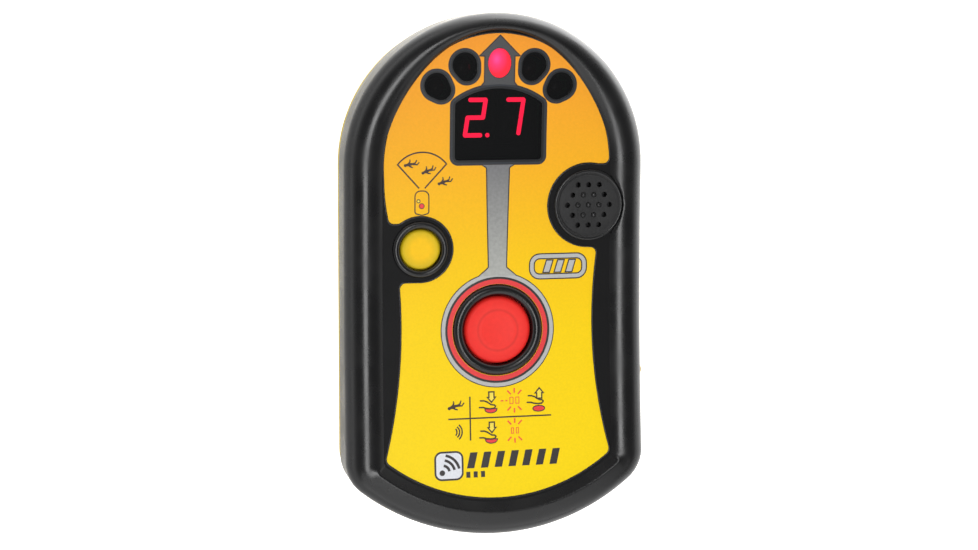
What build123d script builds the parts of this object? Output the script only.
from build123d import *
from math import cos, radians, sin, sqrt
import os

os.makedirs("parts", exist_ok=True)

# Frame: the transceiver lies on its back. +Z is out of the face, +Y is towards the display end and
# +X is to the right. The origin is the middle of the body, on the flat of the back. Millimetres.

# ---------------------------------------------------------------- driving dimensions
HALF_LENGTH = 69.3          # body, from the middle to either end
TOP_RADIUS = 40.2           # half round display end
HALF_WIDTH = 40.7           # body at the lower corners
BOTTOM_RADIUS = 59.0        # shallow arc of the lower end
CORNER_RADIUS = 10.5
WALL = 2.2
SPLIT_Z = 12.0              # plane where the two shells meet
FACE_Z = 23.5               # face at the middle of its length
FACE_RADIUS = 568.0         # the face is hollow along the body by this radius
RIM_HEIGHT = 0.7            # rim above the face
RIM_FILLET = 5.5
SHELL_STEP = 0.5            # the back shell is drawn in from the front shell by this
BACK_FILLET = 6.0
SEAL_OUT = 1.0              # from the front shell's outline to the seal between the shells
SEAL_WIDTH = 0.7
SEAL_DEPTH = 0.8

LABEL_RECESS = 0.35
LABEL_THICKNESS = 0.25
PANE_TOP = -0.12            # window panes, measured from the face
PANE_BOTTOM = -1.5
PANE_GAP = 0.12             # between a pane and its opening
PANE_LEDGE = 0.8            # width of the ledge that carries a pane

BOARD_Z = 15.4
BOARD_THICKNESS = 1.6
BOARD_TOP = BOARD_Z + BOARD_THICKNESS

SEARCH_XY = (0.0, -14.0)    # large red button
SEARCH_R = 9.0
SEARCH_TOP = 0.2            # cap above the face
SEARCH_BEZEL_R = 12.1
OPTIONS_XY = (-20.7, 7.95)  # small yellow button
OPTIONS_R = 5.3
OPTIONS_TOP = 0.2
OPTIONS_BEZEL_R = 7.5
OPTIONS_POD_R = 8.6         # black pod that the label is cut around
PRESS = 0.6                 # travel of either button
CAP_FLANGE = 1.0            # flange that keeps a cap under its bezel
CAP_WALL = 1.0
CAP_ROOF = 1.6
SEARCH_DISH = (4.5, 0.3)    # radius and depth of the finger dish
SEARCH_SWITCH_HEIGHT = 3.0
SEARCH_PLUNGER_R = 1.6
OPTIONS_SWITCH_HEIGHT = 3.6
OPTIONS_PLUNGER_R = 1.1
RUN_GAP = 0.3               # clearance around a moving piece
SEAT_GAP = 0.05             # clearance of a piece that is glued into its seat
PLUNGER_SINK = 0.15         # a switch plunger starts this far down its well
PLUNGER_GAP = 0.06          # between a plunger and its well

SPEAKER_XY = (24.8, 18.8)
SPEAKER_R = 9.2
SPEAKER_POD_R = 11.1
SPEAKER_PITCH = 2.9         # grille holes along a row
SPEAKER_ROW = 2.69          # between rows of holes
SPEAKER_HOLE_R = 0.72
SPEAKER_DIMPLE = 0.5        # depth of the blind holes in the middle
SOUNDER_R = 8.6
SOUNDER_HEIGHT = 3.4

WINDOW_HALF = 12.1          # display pane
WINDOW_LOW = 30.7
WINDOW_SHOULDER = 46.2
WINDOW_TOP = 50.3
DIGIT_HEIGHT = 10.4
DIGIT_WIDTH = 5.3
DIGIT_PITCH = 10.2
DIGIT_X = -0.6              # the pair of digits is a little left of the middle
DIGIT_Y = 42.2
DIGIT_SLANT = 9.0           # degrees
SEGMENT = 1.15              # width of one bar
LIT_SHORTER = 0.15          # a lit bar nearly meets the next one
FOOT_SHORTER = 0.9          # the lower bar of the second digit stands clear
DARK_SHORTER = 2.7
MODULE_LENGTH = 14.0
MODULE_TOP = 22.4

# direction lights: place, half width, outward lean in degrees
LIGHTS = (
    ("far_left", -16.0, 50.1, 45.0),
    ("near_left", -8.95, 55.15, 22.0),
    ("near_right", 8.95, 55.15, -22.0),
    ("far_right", 16.0, 50.1, -45.0),
)
EGG_BIG = 3.35              # egg shaped light window: radius of its wide end
EGG_SMALL = 2.75
EGG_SPREAD = 1.7            # between the two centres
CENTRE_LIGHT = (0.0, 56.4)
CENTRE_LIGHT_SIZE = (3.0, 3.8)
LIGHT_BODY_R = 2.4

KNOB_XY = (0.0, 35.0)
KNOB_R = 13.4
KNOB_LOW = 0.5
KNOB_HIGH = 7.8
CUP_FLOOR = 8.6
CUP_THICKNESS = 1.9
SHAFT_R = 2.9
SHAFT_FIT = 0.05

CELL_R = 5.25               # AAA cell
CELL_LENGTH = 44.5
CELL_PITCH = 11.2
CELL_Z = 8.25
TRAY_HALF = 17.0            # inside of the battery tray
TRAY_LOW = -54.0
TRAY_HIGH = -4.9
TRAY_WALL = 1.3
TRAY_ROOF = 13.6
SPRING_ROOM = 3.4
PLATE_ROOM = 1.2
CONTACT_THICKNESS = 0.3
SPRING_WIDTH = 5.0
SPRING_HALF = 4.4           # half the height of a spring strip
CELL_NIB_R = 1.9
CELL_NIB = 0.8              # height of the positive nib
BAY_FLOOR = 2.95            # shelf under the ends of the cells
PAD_Z = 4.8                 # thickened floor around the battery door
OPENING_HALF = 17.0
OPENING_LOW = -53.2
OPENING_HIGH = -7.2

DOOR_HALF = 20.5
DOOR_LOW = -62.0
DOOR_OUT = 0.2
DOOR_IN = 1.7
DOOR_LEDGE = 2.2
DOOR_GAP = 0.3
PIN_Y = -3.4
PIN_Z = 1.8
PIN_R = 1.0
KNUCKLE_R = 1.6
KNUCKLE_HALF = 15.0
PIN_HALF = 18.0
LOCK_Y = -58.7              # coin screw of the battery door
LOCK_R = 1.5
LOCK_HEAD_R = 3.2
LOCK_GAP = 0.3

LUG_XY = (42.6, -29.5)      # lanyard eye
LUG_HALF = 2.9
LUG_HOLE_R = 1.7
LUG_LOW = 1.5
LUG_HIGH = 6.5

SCREW_POINTS = [(24.0, 54.5), (-24.0, 54.5), (35.0, -2.0), (-35.0, -2.0), (31.0, -47.0), (-31.0, -47.0)]
SCREW_BOSS_R = 2.9
SCREW_R = 1.2
SCREW_HEAD_R = 2.2
POST_POINTS = [(27.5, 36.0), (-27.5, 36.0), (27.5, -38.0), (-27.5, -38.0)]

ROD_R = 4.0                 # ferrite rods of the two antennas
COIL_R = 4.9
ROD_Z = 8.6
LONG_ROD = (-27.4, -43.0, 16.0)     # x, then from y to y
CROSS_ROD = (8.5, -18.0, 32.0)      # y, then from x to x


def face_height(y, offset=0.0):
    """Height of the surface that lies offset above the face, at y."""
    return FACE_Z + FACE_RADIUS - sqrt((FACE_RADIUS - offset) ** 2 - y**2)


def face_plane(point, height=0.0):
    """Plane that touches the face above point, raised by height."""
    x, y = point
    lean = y / FACE_RADIUS
    origin = (x, y - height * lean, face_height(y) + height)
    return Plane(origin=origin, x_dir=(1, 0, 0), z_dir=(0, -lean, sqrt(1 - lean**2)))


def face_layer(low, high):
    """Slab that follows the face, from low to high above it, wider than the body."""
    reach = HALF_LENGTH + 6
    with BuildPart() as slab:
        with BuildSketch(Plane.YZ):
            with BuildLine():
                ThreePointArc(
                    (-reach, face_height(reach, low)), (0, FACE_Z + low), (reach, face_height(reach, low))
                )
                Line((reach, face_height(reach, low)), (reach, face_height(reach, high)))
                ThreePointArc(
                    (reach, face_height(reach, high)), (0, FACE_Z + high), (-reach, face_height(reach, high))
                )
                Line((-reach, face_height(reach, high)), (-reach, face_height(reach, low)))
            make_face()
        extrude(amount=HALF_WIDTH + 12, both=True)
    return slab.part


def on_face(outline, low, high):
    """Vertical prism of an outline, kept between low and high above the face."""
    with BuildPart() as piece:
        with BuildSketch(Plane.XY.offset(SPLIT_Z)):
            add(outline)
        extrude(amount=30)
        add(face_layer(low, high), mode=Mode.INTERSECT)
    return piece.part


def body_outline(inset=0.0):
    """Plan of the body, drawn in by inset."""
    top_r, side, foot_r = TOP_RADIUS - inset, HALF_WIDTH - inset, BOTTOM_RADIUS - inset
    shoulder = HALF_LENGTH - TOP_RADIUS
    foot_middle = BOTTOM_RADIUS - HALF_LENGTH
    low = foot_middle - sqrt(foot_r**2 - side**2)
    with BuildSketch() as plan:
        with BuildLine():
            ThreePointArc((top_r, shoulder), (0, shoulder + top_r), (-top_r, shoulder))
            Line((-top_r, shoulder), (-side, low))
            ThreePointArc((-side, low), (0, foot_middle - foot_r), (side, low))
            Line((side, low), (top_r, shoulder))
        make_face()
        fillet(plan.vertices().group_by(Axis.Y)[0], CORNER_RADIUS - inset)
    return plan.sketch


def recess_outline():
    """Plan of the flat face inside the rim, with the speaker's bite out of the rim."""
    side, top, low, corner = 33.2, 65.9, -61.7, -49.2
    haunch = (20.9, 57.4)
    with BuildSketch() as plan:
        with BuildLine():
            ThreePointArc((haunch[0], haunch[1]), (0, top), (-haunch[0], haunch[1]))
            ThreePointArc((-haunch[0], haunch[1]), (-28.9, 44.8), (-side, 28.0))
            Line((-side, 28.0), (-side, corner))
            ThreePointArc((-side, corner), (0, low), (side, corner))
            Line((side, corner), (side, 28.0))
            ThreePointArc((side, 28.0), (28.9, 44.8), (haunch[0], haunch[1]))
        make_face()
        fillet(plan.vertices().group_by(Axis.Y)[0], 5.0)
        with Locations(SPEAKER_XY):
            Circle(SPEAKER_POD_R - 0.6)
    return plan.sketch


def label_outline():
    """Plan of the face label, cut around the pods of the small button and the speaker."""
    top, waist, low = 64.33, 26.15, -59.1
    haunch, side, hip, foot = (19.7, 56.0), (30.5, 26.5), (27.95, 10.5), (30.95, -48.0)
    with BuildSketch() as plan:
        with BuildLine():
            ThreePointArc((haunch[0], haunch[1]), (0, top), (-haunch[0], haunch[1]))
            for s in (-1, 1):
                ThreePointArc((s * haunch[0], haunch[1]), (s * 27.65, 44.0), (s * side[0], side[1]))
                ThreePointArc((s * side[0], side[1]), (s * 29.8, 18.0), (s * hip[0], hip[1]))
                ThreePointArc((s * hip[0], hip[1]), (s * waist, -14.5), (s * foot[0], foot[1]))
            ThreePointArc((-foot[0], foot[1]), (0, low), (foot[0], foot[1]))
        make_face()
        fillet(plan.vertices().group_by(Axis.Y)[0], 2.2)
        # each pod is a circle and a neck that joins it to the side of the body
        ox, oy = OPTIONS_XY
        sx, sy = SPEAKER_XY
        with BuildLine():
            Polyline((ox, 14.6), (-38, 14.6), (-38, -0.5), (ox, oy - OPTIONS_POD_R), close=True)
        make_face(mode=Mode.SUBTRACT)
        with BuildLine():
            Polyline((sx, 29.6), (38, 29.6), (38, 6.9), (sx, sy - SPEAKER_POD_R), close=True)
        make_face(mode=Mode.SUBTRACT)
        with Locations(OPTIONS_XY):
            Circle(OPTIONS_POD_R, mode=Mode.SUBTRACT)
        with Locations(SPEAKER_XY):
            Circle(SPEAKER_POD_R, mode=Mode.SUBTRACT)
        sharp = [
            v for v in plan.vertices()
            if (v.X < -25.5 and -2 < v.Y < 16.5) or (v.X > 26.0 and 6 < v.Y < 31)
        ]
        fillet(sharp, 1.8)
    return plan.sketch


def window_outline(grow=0.0):
    """Plan of the display pane: square foot, sloping shoulders and an arched top."""
    half, low = WINDOW_HALF + grow, WINDOW_LOW - grow
    shoulder, top = WINDOW_SHOULDER + grow / 2, WINDOW_TOP + grow
    with BuildSketch() as plan:
        with BuildLine():
            Line((-half, low), (half, low))
            Line((half, low), (half, shoulder))
            ThreePointArc((half, shoulder), (0, top), (-half, shoulder))
            Line((-half, shoulder), (-half, low))
        make_face()
        fillet(plan.vertices(), 1.4 + grow / 2)
    return plan.sketch


def egg_outline(x, y, lean, grow=0.0):
    """Plan of one light window, its wide end leaning outwards."""
    dx, dy = -sin(radians(lean)) * EGG_SPREAD / 2, cos(radians(lean)) * EGG_SPREAD / 2
    with BuildSketch() as plan:
        with Locations((x + dx, y + dy)):
            Circle(EGG_BIG + grow)
        with Locations((x - dx, y - dy)):
            Circle(EGG_SMALL + grow)
        make_hull()
    return plan.sketch


def centre_light_outline(grow=0.0):
    """Plan of the window of the middle light."""
    with BuildSketch() as plan:
        with Locations(CENTRE_LIGHT):
            Ellipse(CENTRE_LIGHT_SIZE[0] + grow, CENTRE_LIGHT_SIZE[1] + grow)
    return plan.sketch


def pane_outlines(grow=0.0):
    """Every transparent pane of the face, as (node name, plan)."""
    panes = [("display_window", window_outline(grow))]
    panes += [("light_window_" + name, egg_outline(x, y, lean, grow)) for name, x, y, lean in LIGHTS]
    panes.append(("light_window_centre", centre_light_outline(grow)))
    return panes


def bar(centre, size, low, high):
    """Upright box over a centre point, from low to high."""
    with BuildPart() as piece:
        with BuildSketch(Plane.XY.offset(low)):
            with Locations(centre):
                Rectangle(*size)
        extrude(amount=high - low)
    return piece.part


def post(centre, radius, low, high, hole=0.0):
    """Upright cylinder over a centre point, from low to high, with an optional bore."""
    with BuildPart() as piece:
        with BuildSketch(Plane.XY.offset(low)):
            with Locations(centre):
                Circle(radius)
                if hole:
                    Circle(hole, mode=Mode.SUBTRACT)
        extrude(amount=high - low)
    return piece.part


def save(part, label):
    """Name a finished piece and write it."""
    part.label = label
    export_step(part, "parts/" + label + ".step")


# ---------------------------------------------------------------- front shell
with BuildPart() as front_shell:
    with BuildSketch(Plane.XY.offset(SPLIT_Z)):
        add(body_outline())
    extrude(amount=30)
    add(face_layer(RIM_HEIGHT, 30), mode=Mode.SUBTRACT)
    fillet(front_shell.faces().sort_by(Axis.Z)[-1].edges(), RIM_FILLET)
    add(on_face(recess_outline(), 0, 20), mode=Mode.SUBTRACT)
    add(on_face(label_outline(), -LABEL_RECESS, 20), mode=Mode.SUBTRACT)
with BuildPart() as front_hollow:
    with BuildSketch(Plane.XY.offset(SPLIT_Z)):
        add(body_outline(WALL))
    extrude(amount=30)
    add(face_layer(-WALL, 30), mode=Mode.SUBTRACT)
with BuildPart() as front_extras:
    for point in SCREW_POINTS:
        add(post(point, SCREW_BOSS_R, SPLIT_Z, face_height(point[1], -WALL) + 0.6))
    for point in POST_POINTS:
        add(post(point, 2.2, BOARD_TOP, face_height(point[1], -WALL) + 0.6))
    with BuildSketch(face_plane(SEARCH_XY, -3.0)):
        Circle(SEARCH_BEZEL_R + 1.5)
    extrude(amount=1.6)
with BuildPart() as front_shell_done:
    add(front_shell.part)
    add(front_hollow.part, mode=Mode.SUBTRACT)
    add(front_extras.part)
    # panes and the openings under them
    for name, plan in pane_outlines(PANE_GAP):
        add(on_face(plan, PANE_BOTTOM, 20), mode=Mode.SUBTRACT)
    for name, plan in pane_outlines(-PANE_LEDGE):
        add(on_face(plan, -8, 20), mode=Mode.SUBTRACT)
    # large button: seat of its bezel and bore of its cap
    with BuildSketch(face_plane(SEARCH_XY, -1.8)):
        Circle(SEARCH_BEZEL_R)
    extrude(amount=8, mode=Mode.SUBTRACT)
    with BuildSketch(face_plane(SEARCH_XY, -5)):
        Circle(SEARCH_R + 0.5)
    extrude(amount=8, mode=Mode.SUBTRACT)
    # small button
    with BuildSketch(face_plane(OPTIONS_XY, -1.2)):
        Circle(OPTIONS_BEZEL_R)
    extrude(amount=6, mode=Mode.SUBTRACT)
    with BuildSketch(face_plane(OPTIONS_XY, -5)):
        Circle(OPTIONS_R + 0.45)
    extrude(amount=8, mode=Mode.SUBTRACT)
    # speaker
    with BuildSketch(face_plane(SPEAKER_XY, -1.2)):
        Circle(SPEAKER_R)
    extrude(amount=6, mode=Mode.SUBTRACT)
    with BuildSketch(face_plane(SPEAKER_XY, -5)):
        Circle(SPEAKER_R - 1.6)
    extrude(amount=8, mode=Mode.SUBTRACT)
    # pilot holes of the screws
    for point in SCREW_POINTS:
        add(post(point, SCREW_R, SPLIT_Z - 1, SPLIT_Z + 6.5), mode=Mode.SUBTRACT)
save(front_shell_done.part, "front_shell")

# ---------------------------------------------------------------- back shell
cup_top = CUP_FLOOR + CUP_THICKNESS
opening_middle = (0, (OPENING_LOW + OPENING_HIGH) / 2)
opening_size = (2 * OPENING_HALF, OPENING_HIGH - OPENING_LOW)
with BuildPart() as back_body:
    with BuildSketch(Plane.XY):
        add(body_outline(SHELL_STEP))
    extrude(amount=SPLIT_Z)
    fillet(back_body.faces().sort_by(Axis.Z)[0].edges(), BACK_FILLET)
with BuildPart() as back_hollow:
    with BuildSketch(Plane.XY.offset(WALL)):
        add(body_outline(WALL))
    extrude(amount=SPLIT_Z)
    fillet(back_hollow.faces().sort_by(Axis.Z)[0].edges(), BACK_FILLET - WALL)
with BuildPart() as back_shell:
    add(back_body.part)
    add(back_hollow.part, mode=Mode.SUBTRACT)
    # thick floor around the battery door
    with BuildSketch(Plane.XY.offset(WALL / 2)):
        with Locations((0, -31.5)):
            Rectangle(2 * DOOR_HALF + 4.4, 64.6)
    extrude(until=Until.NEXT, target=bar((0, 0), (90, 150), PAD_Z, PAD_Z + 1))
    # cup of the power knob
    add(post(KNOB_XY, KNOB_R + 3.2, 1.0, cup_top))
    # screw columns and lock column
    for point in SCREW_POINTS:
        add(post(point, SCREW_BOSS_R, 1.5, SPLIT_Z))
    add(post((0, LOCK_Y), LOCK_HEAD_R + 0.2, DOOR_LEDGE, PAD_Z + 4.2))
    # cradles of the long antenna rod and of the cross rod
    for y in (LONG_ROD[1] + 4, LONG_ROD[2] - 4):
        add(bar((LONG_ROD[0], y), (2 * ROD_R + 2.4, 2.4), 1.5, ROD_Z))
    for x in (CROSS_ROD[1] + 4, CROSS_ROD[2] - 4):
        add(bar((x, CROSS_ROD[0]), (2.4, 2 * ROD_R + 2.4), 1.5, ROD_Z))
    with BuildSketch(Plane.XZ.offset(-LONG_ROD[1])):
        with Locations((LONG_ROD[0], ROD_Z)):
            Circle(ROD_R)
    extrude(amount=-(LONG_ROD[2] - LONG_ROD[1]), mode=Mode.SUBTRACT)
    with BuildSketch(Plane.YZ.offset(CROSS_ROD[1])):
        with Locations((CROSS_ROD[0], ROD_Z)):
            Circle(ROD_R)
    extrude(amount=CROSS_ROD[2] - CROSS_ROD[1], mode=Mode.SUBTRACT)
    # lanyard eye
    with BuildSketch(Plane.XY.offset(LUG_LOW)):
        with Locations(LUG_XY):
            Circle(LUG_HALF)
        with BuildLine():
            Polyline(
                (LUG_XY[0], LUG_XY[1] + LUG_HALF), (HALF_WIDTH - 3, LUG_XY[1] + LUG_HALF + 1.6),
                (HALF_WIDTH - 3, LUG_XY[1] - LUG_HALF - 1.6), (LUG_XY[0], LUG_XY[1] - LUG_HALF), close=True
            )
        make_face()
    extrude(amount=LUG_HIGH - LUG_LOW)
    add(back_hollow.part.intersect(bar((LUG_XY[0] - 5, LUG_XY[1]), (12, 20), 0, 11)), mode=Mode.SUBTRACT)
    with BuildSketch(Plane.XY):
        with Locations(LUG_XY):
            Circle(LUG_HOLE_R)
    extrude(amount=SPLIT_Z, mode=Mode.SUBTRACT)
    # door seat, its opening, the knuckle slot and the pin holes
    with BuildSketch(Plane.XY):
        with Locations((0, (DOOR_LOW + PIN_Y - 1.8) / 2 - DOOR_GAP / 2)):
            RectangleRounded(2 * (DOOR_HALF + DOOR_GAP), PIN_Y - 1.8 - DOOR_LOW + DOOR_GAP, 3.0)
        with Locations((0, PIN_Y - 3.3)):
            Rectangle(2 * (DOOR_HALF + DOOR_GAP), 3.0)
    extrude(amount=DOOR_LEDGE, mode=Mode.SUBTRACT)
    add(bar(opening_middle, opening_size, 0, PAD_Z + 1), mode=Mode.SUBTRACT)
    add(
        bar((0, (TRAY_LOW + TRAY_HIGH) / 2), (2 * TRAY_HALF, TRAY_HIGH - TRAY_LOW), BAY_FLOOR, PAD_Z + 1),
        mode=Mode.SUBTRACT,
    )
    knuckle_room = (2 * (KNUCKLE_HALF + DOOR_GAP), 2 * (KNUCKLE_R + DOOR_GAP))
    add(bar((0, PIN_Y), knuckle_room, 0, PIN_Z + KNUCKLE_R + DOOR_GAP), mode=Mode.SUBTRACT)
    with BuildSketch(Plane.YZ.offset(-PIN_HALF)):
        with Locations((PIN_Y, PIN_Z)):
            Circle(PIN_R)
    extrude(amount=2 * PIN_HALF, mode=Mode.SUBTRACT)
    # knob recess and shaft hole
    add(post(KNOB_XY, KNOB_R + 0.6, 0, CUP_FLOOR), mode=Mode.SUBTRACT)
    add(post(KNOB_XY, SHAFT_R + 0.4, 0, cup_top), mode=Mode.SUBTRACT)
    # coin screw: seat of the threaded insert
    add(post((0, LOCK_Y), LOCK_R + 1.1, DOOR_LEDGE, PAD_Z + 3.2), mode=Mode.SUBTRACT)
    # shell screws: clearance holes and head pockets
    for point in SCREW_POINTS:
        add(post(point, SCREW_R + 0.3, 0, SPLIT_Z), mode=Mode.SUBTRACT)
        add(post(point, SCREW_HEAD_R + 0.3, 0, 4.0), mode=Mode.SUBTRACT)
    # groove of the seal
    with BuildSketch(Plane.XY.offset(SPLIT_Z - SEAL_DEPTH)):
        add(body_outline(SEAL_OUT))
        add(body_outline(SEAL_OUT + SEAL_WIDTH), mode=Mode.SUBTRACT)
    extrude(amount=1, mode=Mode.SUBTRACT)
save(back_shell.part, "back_shell")

with BuildPart() as shell_seal:
    with BuildSketch(Plane.XY.offset(SPLIT_Z - SEAL_DEPTH)):
        add(body_outline(SEAL_OUT))
        add(body_outline(SEAL_OUT + SEAL_WIDTH), mode=Mode.SUBTRACT)
    extrude(amount=SEAL_DEPTH)
save(shell_seal.part, "shell_seal")

with BuildPart() as shell_screws:
    for point in SCREW_POINTS:
        add(post(point, SCREW_HEAD_R, 2.0, 4.0))
        add(post(point, SCREW_R, 4.0, SPLIT_Z + 6.0))
        add(bar(point, (3.2, 0.7), 2.0, 2.8), mode=Mode.SUBTRACT)
        add(bar(point, (0.7, 3.2), 2.0, 2.8), mode=Mode.SUBTRACT)
save(shell_screws.part, "shell_screws")

# ---------------------------------------------------------------- face label and panes
with BuildPart() as face_label:
    add(on_face(label_outline(), -LABEL_RECESS, -LABEL_RECESS + LABEL_THICKNESS))
    for name, plan in pane_outlines(PANE_GAP):
        add(on_face(plan, -2, 2), mode=Mode.SUBTRACT)
    with BuildSketch(face_plane(SEARCH_XY, -3)):
        Circle(SEARCH_BEZEL_R + 0.15)
    extrude(amount=6, mode=Mode.SUBTRACT)
save(face_label.part, "face_label")

for name, plan in pane_outlines():
    save(on_face(plan, PANE_BOTTOM, PANE_TOP), name)

# ---------------------------------------------------------------- lights and digits
light_points = [(name, x, y) for name, x, y, lean in LIGHTS] + [("centre", CENTRE_LIGHT[0], CENTRE_LIGHT[1])]
for name, x, y in light_points:
    with BuildPart() as light:
        add(post((x, y), LIGHT_BODY_R + 0.4, BOARD_TOP, BOARD_TOP + 1.0))
        add(post((x, y), LIGHT_BODY_R, BOARD_TOP + 1.0, BOARD_TOP + 3.2))
        with Locations((x, y, BOARD_TOP + 3.2)):
            Sphere(LIGHT_BODY_R)
    save(light.part, "light_" + name)


def segment_plans(letters, shorter):
    """Bars of one seven-segment digit about its own centre, as a slanted plan."""
    half_w, half_h = DIGIT_WIDTH / 2 - SEGMENT / 2, DIGIT_HEIGHT / 2 - SEGMENT / 2
    slope = sin(radians(DIGIT_SLANT))
    level = {"a": half_h, "g": 0.0, "d": -half_h}
    upright = {"b": (1, 1), "c": (1, -1), "f": (-1, 1), "e": (-1, -1)}
    with BuildSketch() as plan:
        for letter in letters:
            if letter in level:
                with Locations((level[letter] * slope, level[letter])):
                    SlotOverall(2 * half_w + SEGMENT - shorter, SEGMENT)
            elif letter in upright:
                side, end = upright[letter]
                middle = (side * half_w + end * half_h / 2 * slope, end * half_h / 2)
                with Locations(Location(middle, -DIGIT_SLANT)):
                    SlotOverall(half_h + SEGMENT - shorter, SEGMENT, rotation=90)
            elif letter == "dot":
                with Locations((half_w + 1.15, -half_h)):
                    Circle(SEGMENT / 2)
    return plan.sketch


def segments(centre_x, letters, shorter):
    """Thin light bars in the top of a digit module."""
    with BuildPart() as piece:
        with BuildSketch(Plane.XY.offset(MODULE_TOP - 0.2)):
            with Locations((centre_x, DIGIT_Y)):
                add(segment_plans(letters, shorter))
        extrude(amount=0.2)
    return piece.part


left_digit = DIGIT_X - DIGIT_PITCH / 2
right_digit = DIGIT_X + DIGIT_PITCH / 2
with BuildPart() as digit_lit:
    add(segments(left_digit, ["a", "b", "g", "e", "d", "dot"], LIT_SHORTER))
    add(segments(right_digit, ["a", "b"], LIT_SHORTER))
    add(segments(right_digit, ["c"], FOOT_SHORTER))
with BuildPart() as digit_dark:
    add(segments(left_digit, ["c", "f"], DARK_SHORTER))
    add(segments(right_digit, ["d", "e", "f", "g", "dot"], DARK_SHORTER))
save(digit_lit.part, "digit_lit")
save(digit_dark.part, "digit_dark")
for side, x in (("left", left_digit), ("right", right_digit)):
    with BuildPart() as module:
        add(bar((x, DIGIT_Y), (DIGIT_PITCH - 0.1, MODULE_LENGTH), BOARD_TOP, MODULE_TOP))
        add(digit_lit.part, mode=Mode.SUBTRACT)
        add(digit_dark.part, mode=Mode.SUBTRACT)
    save(module.part, "digit_module_" + side)

with BuildPart() as display_frame:
    with BuildSketch(Plane.XY.offset(BOARD_TOP)):
        add(window_outline(-PANE_LEDGE - 0.2))
        with Locations((DIGIT_X, DIGIT_Y)):
            Rectangle(2 * DIGIT_PITCH + 0.1, MODULE_LENGTH + 0.2, mode=Mode.SUBTRACT)
    extrude(amount=MODULE_TOP - BOARD_TOP - 0.6)
save(display_frame.part, "display_frame")

# ---------------------------------------------------------------- buttons
def bezel(point, outer, inner, seat, crest):
    """Round black ring with a domed top that falls towards the cap, seated below the face."""
    plane = face_plane(point)
    middle = inner + 0.55 * (outer - inner)
    with BuildPart() as ring:
        with BuildSketch(Plane(origin=plane.origin, x_dir=(1, 0, 0), z_dir=plane.y_dir * -1)):
            with BuildLine():
                Polyline((inner, -0.5), (inner, seat), (outer, seat), (outer, 0.1))
                ThreePointArc((outer, 0.1), (middle, crest), (inner, -0.5))
            make_face()
        revolve(axis=Axis(plane.origin, plane.z_dir))
    return ring.part


def cap(point, radius, top, flange, edge, plunger_top, stem, dish):
    """Hollow button cap: flange below the face, rounded edge, central stem and shallow dish."""
    x, y = point
    flange_r, flange_low, flange_high = flange
    surface = face_height(y)
    with BuildPart() as piece:
        with BuildSketch(face_plane(point, flange_low)):
            Circle(radius)
        extrude(amount=top - flange_low)
        fillet(piece.edges().sort_by(Axis.Z)[-1], edge)
        with BuildSketch(face_plane(point, flange_low)):
            Circle(flange_r)
        extrude(amount=flange_high - flange_low)
        if dish:
            dish_r, depth = dish
            ball = (dish_r**2 + depth**2) / (2 * depth)
            with Locations(face_plane(point, top + ball - depth)):
                Sphere(ball, mode=Mode.SUBTRACT)
        add(post(point, radius - CAP_WALL, surface - 6, surface + top - CAP_ROOF), mode=Mode.SUBTRACT)
        add(post(point, stem, plunger_top, surface + top - 1.2))
    return piece.part


def tact_switch(point, size, height, plunger_r):
    """Square switch body on the board, with a well that its plunger sinks into."""
    well = PRESS + 2 * PLUNGER_SINK
    with BuildPart() as body:
        add(bar(point, (size, size), BOARD_TOP, BOARD_TOP + height))
        add(
            post(point, plunger_r + PLUNGER_GAP, BOARD_TOP + height - well, BOARD_TOP + height),
            mode=Mode.SUBTRACT,
        )
    return body.part


def return_dome(point, foot, head, top):
    """Hollow silicone cone that lifts a cap, standing on the board."""
    with BuildPart() as dome:
        plane = Plane(origin=(point[0], point[1], 0), x_dir=(1, 0, 0), z_dir=(0, -1, 0))
        with BuildSketch(plane):
            with BuildLine():
                Polyline(
                    (foot, BOARD_TOP), (foot, BOARD_TOP + 0.6), (head, top), (head - 0.8, top),
                    (foot - 1.4, BOARD_TOP + 0.6), (foot - 1.4, BOARD_TOP), close=True
                )
            make_face()
        revolve(axis=Axis((point[0], point[1], 0), (0, 0, 1)))
    return dome.part


search_plunger_top = BOARD_TOP + SEARCH_SWITCH_HEIGHT + 0.8
save(bezel(SEARCH_XY, SEARCH_BEZEL_R - SEAT_GAP, SEARCH_R + RUN_GAP, -1.8, 0.95), "search_bezel")
save(
    cap(
        SEARCH_XY, SEARCH_R, SEARCH_TOP, (SEARCH_R + CAP_FLANGE, -4.0, -3.25), 1.2, search_plunger_top, 1.8,
        SEARCH_DISH,
    ),
    "search_button",
)
save(tact_switch(SEARCH_XY, 6.0, SEARCH_SWITCH_HEIGHT, SEARCH_PLUNGER_R), "search_switch")
save(
    post(
        SEARCH_XY, SEARCH_PLUNGER_R, BOARD_TOP + SEARCH_SWITCH_HEIGHT - PLUNGER_SINK, search_plunger_top
    ),
    "search_plunger",
)
search_dome_top = face_height(SEARCH_XY[1]) + SEARCH_TOP - CAP_ROOF
save(return_dome(SEARCH_XY, 7.0, 5.6, search_dome_top), "search_dome")

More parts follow.
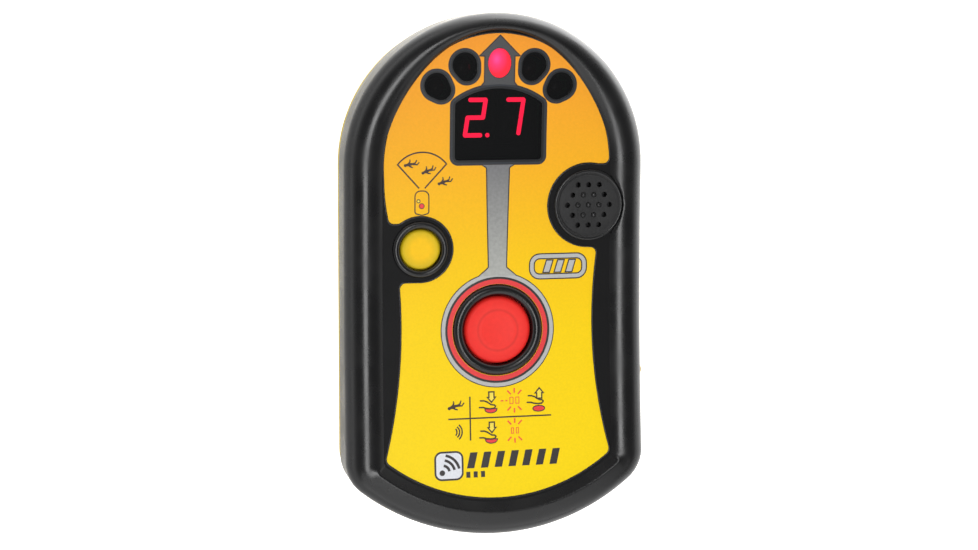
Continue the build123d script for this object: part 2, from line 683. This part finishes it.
options_plunger_top = BOARD_TOP + OPTIONS_SWITCH_HEIGHT + 0.8
save(bezel(OPTIONS_XY, OPTIONS_BEZEL_R - SEAT_GAP, OPTIONS_R + RUN_GAP, -1.2, 0.8), "options_bezel")
save(
    cap(
        OPTIONS_XY, OPTIONS_R, OPTIONS_TOP, (OPTIONS_R + CAP_FLANGE, -3.3, -2.5), 0.9,
        options_plunger_top, 1.2, None,
    ),
    "options_button",
)
save(tact_switch(OPTIONS_XY, 3.8, OPTIONS_SWITCH_HEIGHT, OPTIONS_PLUNGER_R), "options_switch")
save(
    post(
        OPTIONS_XY, OPTIONS_PLUNGER_R, BOARD_TOP + OPTIONS_SWITCH_HEIGHT - PLUNGER_SINK, options_plunger_top
    ),
    "options_plunger",
)
options_dome_top = face_height(OPTIONS_XY[1]) + OPTIONS_TOP - CAP_ROOF
save(return_dome(OPTIONS_XY, 4.6, 3.4, options_dome_top), "options_dome")

# ---------------------------------------------------------------- speaker
with BuildPart() as speaker_grille:
    plane = face_plane(SPEAKER_XY)
    with BuildSketch(Plane(origin=plane.origin, x_dir=(1, 0, 0), z_dir=plane.y_dir * -1)):
        with BuildLine():
            Polyline(
                (0, -1.2), (SPEAKER_R - 0.05, -1.2), (SPEAKER_R - 0.05, 0.15), (SPEAKER_R - 0.35, 0.45),
                (SPEAKER_R - 0.75, 0.45), (SPEAKER_R - 1.15, 0.0), (0, 0.0), close=True
            )
        make_face()
    revolve(axis=Axis(plane.origin, plane.z_dir))
    rows = ((0, 5), (1, 4), (-1, 4), (2, 3), (-2, 3))
    for row, count in rows:
        for i in range(count):
            x, y = (i - (count - 1) / 2) * SPEAKER_PITCH, row * SPEAKER_ROW
            through = abs(row) == 2 or i in (0, count - 1)
            with BuildSketch(face_plane(SPEAKER_XY, -2 if through else -SPEAKER_DIMPLE)):
                with Locations((x, y)):
                    Circle(SPEAKER_HOLE_R)
            extrude(amount=4, mode=Mode.SUBTRACT)
save(speaker_grille.part, "speaker_grille")

sounder_top = BOARD_TOP + SOUNDER_HEIGHT
save(post(SPEAKER_XY, SOUNDER_R, BOARD_TOP, sounder_top), "sounder")
with BuildPart() as sounder_gasket:
    add(post(SPEAKER_XY, SOUNDER_R, sounder_top, FACE_Z + 2, SPEAKER_R - 2.2))
    add(face_layer(-WALL, 30), mode=Mode.SUBTRACT)
save(sounder_gasket.part, "sounder_gasket")

# ---------------------------------------------------------------- board and electronics
with BuildPart() as main_board:
    with BuildSketch(Plane.XY.offset(BOARD_Z)):
        with Locations((0, -4)):
            RectangleRounded(62, 76, 2)
        with Locations((0, HALF_LENGTH - TOP_RADIUS)):
            Circle(31)
        with Locations(*POST_POINTS):
            Circle(1.1, mode=Mode.SUBTRACT)
    extrude(amount=BOARD_THICKNESS)
save(main_board.part, "main_board")

with BuildPart() as controller_chip:
    add(bar((13, -32), (10, 10), BOARD_TOP, BOARD_TOP + 1.4))
    chamfer(controller_chip.edges().group_by(Axis.Z)[-1], 0.2)
save(controller_chip.part, "controller_chip")
with BuildPart() as shield_can:
    add(bar((-9, -33), (19, 13), BOARD_TOP, BOARD_TOP + 2.6))
    fillet(shield_can.edges().filter_by(Axis.Z), 0.8)
save(shield_can.part, "shield_can")

long_x, long_low, long_high = LONG_ROD
cross_y, cross_low, cross_high = CROSS_ROD


def lengthwise(radius, low, high, hole=0.0):
    """Tube or rod along Y on the line of the long antenna."""
    with BuildPart() as piece:
        with BuildSketch(Plane.XZ.offset(-low)):
            with Locations((long_x, ROD_Z)):
                Circle(radius)
                if hole:
                    Circle(hole, mode=Mode.SUBTRACT)
        extrude(amount=low - high)
    return piece.part


def crosswise(radius, low, high, hole=0.0):
    """Tube or rod along X on the line of the cross antenna."""
    with BuildPart() as piece:
        with BuildSketch(Plane.YZ.offset(low)):
            with Locations((cross_y, ROD_Z)):
                Circle(radius)
                if hole:
                    Circle(hole, mode=Mode.SUBTRACT)
        extrude(amount=high - low)
    return piece.part


save(lengthwise(ROD_R, long_low, long_high), "long_antenna_rod")
save(lengthwise(COIL_R, -29.0, -3.0, ROD_R), "long_antenna_coil")
save(crosswise(ROD_R, cross_low, cross_high), "cross_antenna_rod")
save(crosswise(COIL_R, -4.0, 18.0, ROD_R), "cross_antenna_coil")

# ---------------------------------------------------------------- power knob and its switch
with BuildPart() as rotary_switch:
    add(bar(KNOB_XY, (15, 15), cup_top + 0.3, BOARD_Z))
    add(post(KNOB_XY, SHAFT_R + SHAFT_FIT, cup_top, cup_top + 3.4), mode=Mode.SUBTRACT)
save(rotary_switch.part, "rotary_switch")

with BuildPart() as power_knob:
    add(post(KNOB_XY, KNOB_R, KNOB_LOW, KNOB_HIGH))
    fillet(power_knob.edges().group_by(Axis.Z)[0], 0.8)
    # finger pockets either side of a grip bar
    with BuildSketch(Plane.XY):
        with Locations(KNOB_XY):
            Circle(KNOB_R - 1.6)
            Rectangle(2 * KNOB_R, 7.0, mode=Mode.SUBTRACT)
    extrude(amount=5.2, mode=Mode.SUBTRACT)
    add(post(KNOB_XY, SHAFT_R, KNOB_HIGH, cup_top + 3.0))
save(power_knob.part, "power_knob")
save(post(KNOB_XY, SHAFT_R + 1.4, KNOB_HIGH + 0.15, CUP_FLOOR, SHAFT_R + SHAFT_FIT), "knob_seal")

# ---------------------------------------------------------------- battery bay
tray_middle = (TRAY_LOW + TRAY_HIGH) / 2
tray_inside = TRAY_HIGH - TRAY_LOW
with BuildPart() as battery_tray:
    tray_size = (2 * (TRAY_HALF + TRAY_WALL), tray_inside + 2 * TRAY_WALL)
    add(bar((0, tray_middle), tray_size, PAD_Z, TRAY_ROOF + 1.0))
    fillet(battery_tray.edges().filter_by(Axis.Z), 1.0)
    add(bar((0, tray_middle), (2 * TRAY_HALF, tray_inside), PAD_Z - 1, TRAY_ROOF), mode=Mode.SUBTRACT)
save(battery_tray.part, "battery_tray")

# the springs of cells 1 and 3 are at the lower end and that of cell 2 is at the upper end
for number in (1, 2, 3):
    x = (number - 2) * CELL_PITCH
    upright = number != 2
    spring_y = TRAY_LOW if upright else TRAY_HIGH
    plate_y = TRAY_HIGH if upright else TRAY_LOW
    inward = 1 if upright else -1
    foot = spring_y + inward * SPRING_ROOM
    head = foot + inward * CELL_LENGTH
    with BuildPart() as cell:
        with BuildSketch(Plane.XZ.offset(-foot)):
            with Locations((x, CELL_Z)):
                Circle(CELL_R)
        extrude(amount=-inward * (CELL_LENGTH - CELL_NIB))
        fillet(cell.edges().filter_by(GeomType.CIRCLE), 0.5)
        with BuildSketch(Plane.XZ.offset(-(head - inward * CELL_NIB))):
            with Locations((x, CELL_Z)):
                Circle(CELL_NIB_R)
        extrude(amount=-inward * CELL_NIB)
    save(cell.part, f"battery_cell_{number}")
    with BuildPart() as spring_contact:
        # strip bowed from the end of the tray to the foot of the cell
        with BuildSketch(Plane.YZ.offset(x - SPRING_WIDTH / 2)):
            with BuildLine():
                for thick in (0.0, CONTACT_THICKNESS):
                    ThreePointArc(
                        (spring_y + inward * thick, CELL_Z - SPRING_HALF),
                        (foot - inward * (CONTACT_THICKNESS - thick), CELL_Z),
                        (spring_y + inward * thick, CELL_Z + SPRING_HALF),
                    )
                for end in (-SPRING_HALF, SPRING_HALF):
                    Line((spring_y, CELL_Z + end), (spring_y + inward * CONTACT_THICKNESS, CELL_Z + end))
            make_face()
        extrude(amount=SPRING_WIDTH)
        strip = (SPRING_WIDTH, CONTACT_THICKNESS)
        add(bar((x, spring_y + inward * CONTACT_THICKNESS / 2), strip, CELL_Z - SPRING_HALF, TRAY_ROOF))
    save(spring_contact.part, f"spring_contact_{number}")
    plate = bar((x, (plate_y + head) / 2), (7.0, abs(plate_y - head)), CELL_Z - 3.5, TRAY_ROOF)
    save(plate, f"plate_contact_{number}")

# ---------------------------------------------------------------- battery door
with BuildPart() as battery_door:
    with BuildSketch(Plane.XY.offset(DOOR_OUT)):
        with Locations((0, (DOOR_LOW + PIN_Y - 2.6) / 2)):
            RectangleRounded(2 * DOOR_HALF, PIN_Y - 2.6 - DOOR_LOW, 2.8)
        with Locations((0, PIN_Y - 3.0)):
            Rectangle(2 * KNUCKLE_HALF, 6.0)
    extrude(amount=DOOR_IN - DOOR_OUT)
    with BuildSketch(Plane.YZ.offset(-KNUCKLE_HALF)):
        with Locations((PIN_Y, PIN_Z)):
            Circle(KNUCKLE_R)
    extrude(amount=2 * KNUCKLE_HALF)
    with BuildSketch(Plane.YZ.offset(-KNUCKLE_HALF)):
        with Locations((PIN_Y, PIN_Z)):
            Circle(PIN_R + 0.05)
    extrude(amount=2 * KNUCKLE_HALF, mode=Mode.SUBTRACT)
    add(post((0, LOCK_Y), LOCK_R + 0.06, 0, PAD_Z), mode=Mode.SUBTRACT)
    add(post((0, LOCK_Y), LOCK_HEAD_R + 0.1, 0, DOOR_OUT + 0.9), mode=Mode.SUBTRACT)
save(battery_door.part, "battery_door")

with BuildPart() as hinge_pin:
    with BuildSketch(Plane.YZ.offset(-PIN_HALF)):
        with Locations((PIN_Y, PIN_Z)):
            Circle(PIN_R)
    extrude(amount=2 * PIN_HALF)
save(hinge_pin.part, "hinge_pin")

with BuildPart() as door_seal:
    with BuildSketch(Plane.XY.offset(DOOR_IN)):
        with Locations(opening_middle):
            RectangleRounded(opening_size[0] + 4.2, opening_size[1] + 2.0, 2.0)
            RectangleRounded(opening_size[0] + 2.0, opening_size[1] + 0.6, 1.2, mode=Mode.SUBTRACT)
    extrude(amount=DOOR_LEDGE - DOOR_IN)
save(door_seal.part, "door_seal")

with BuildPart() as door_screw:
    add(post((0, LOCK_Y), LOCK_HEAD_R, DOOR_OUT + 0.05, DOOR_OUT + 0.9))
    add(post((0, LOCK_Y), LOCK_R, DOOR_OUT + 0.9, DOOR_LEDGE + 3.6))
    add(bar((0, LOCK_Y), (2 * LOCK_HEAD_R, 1.1), 0, DOOR_OUT + 0.6), mode=Mode.SUBTRACT)
save(door_screw.part, "door_screw")
save(post((0, LOCK_Y), LOCK_R + 1.1, DOOR_LEDGE, PAD_Z + 3.2, LOCK_R + LOCK_GAP), "screw_insert")
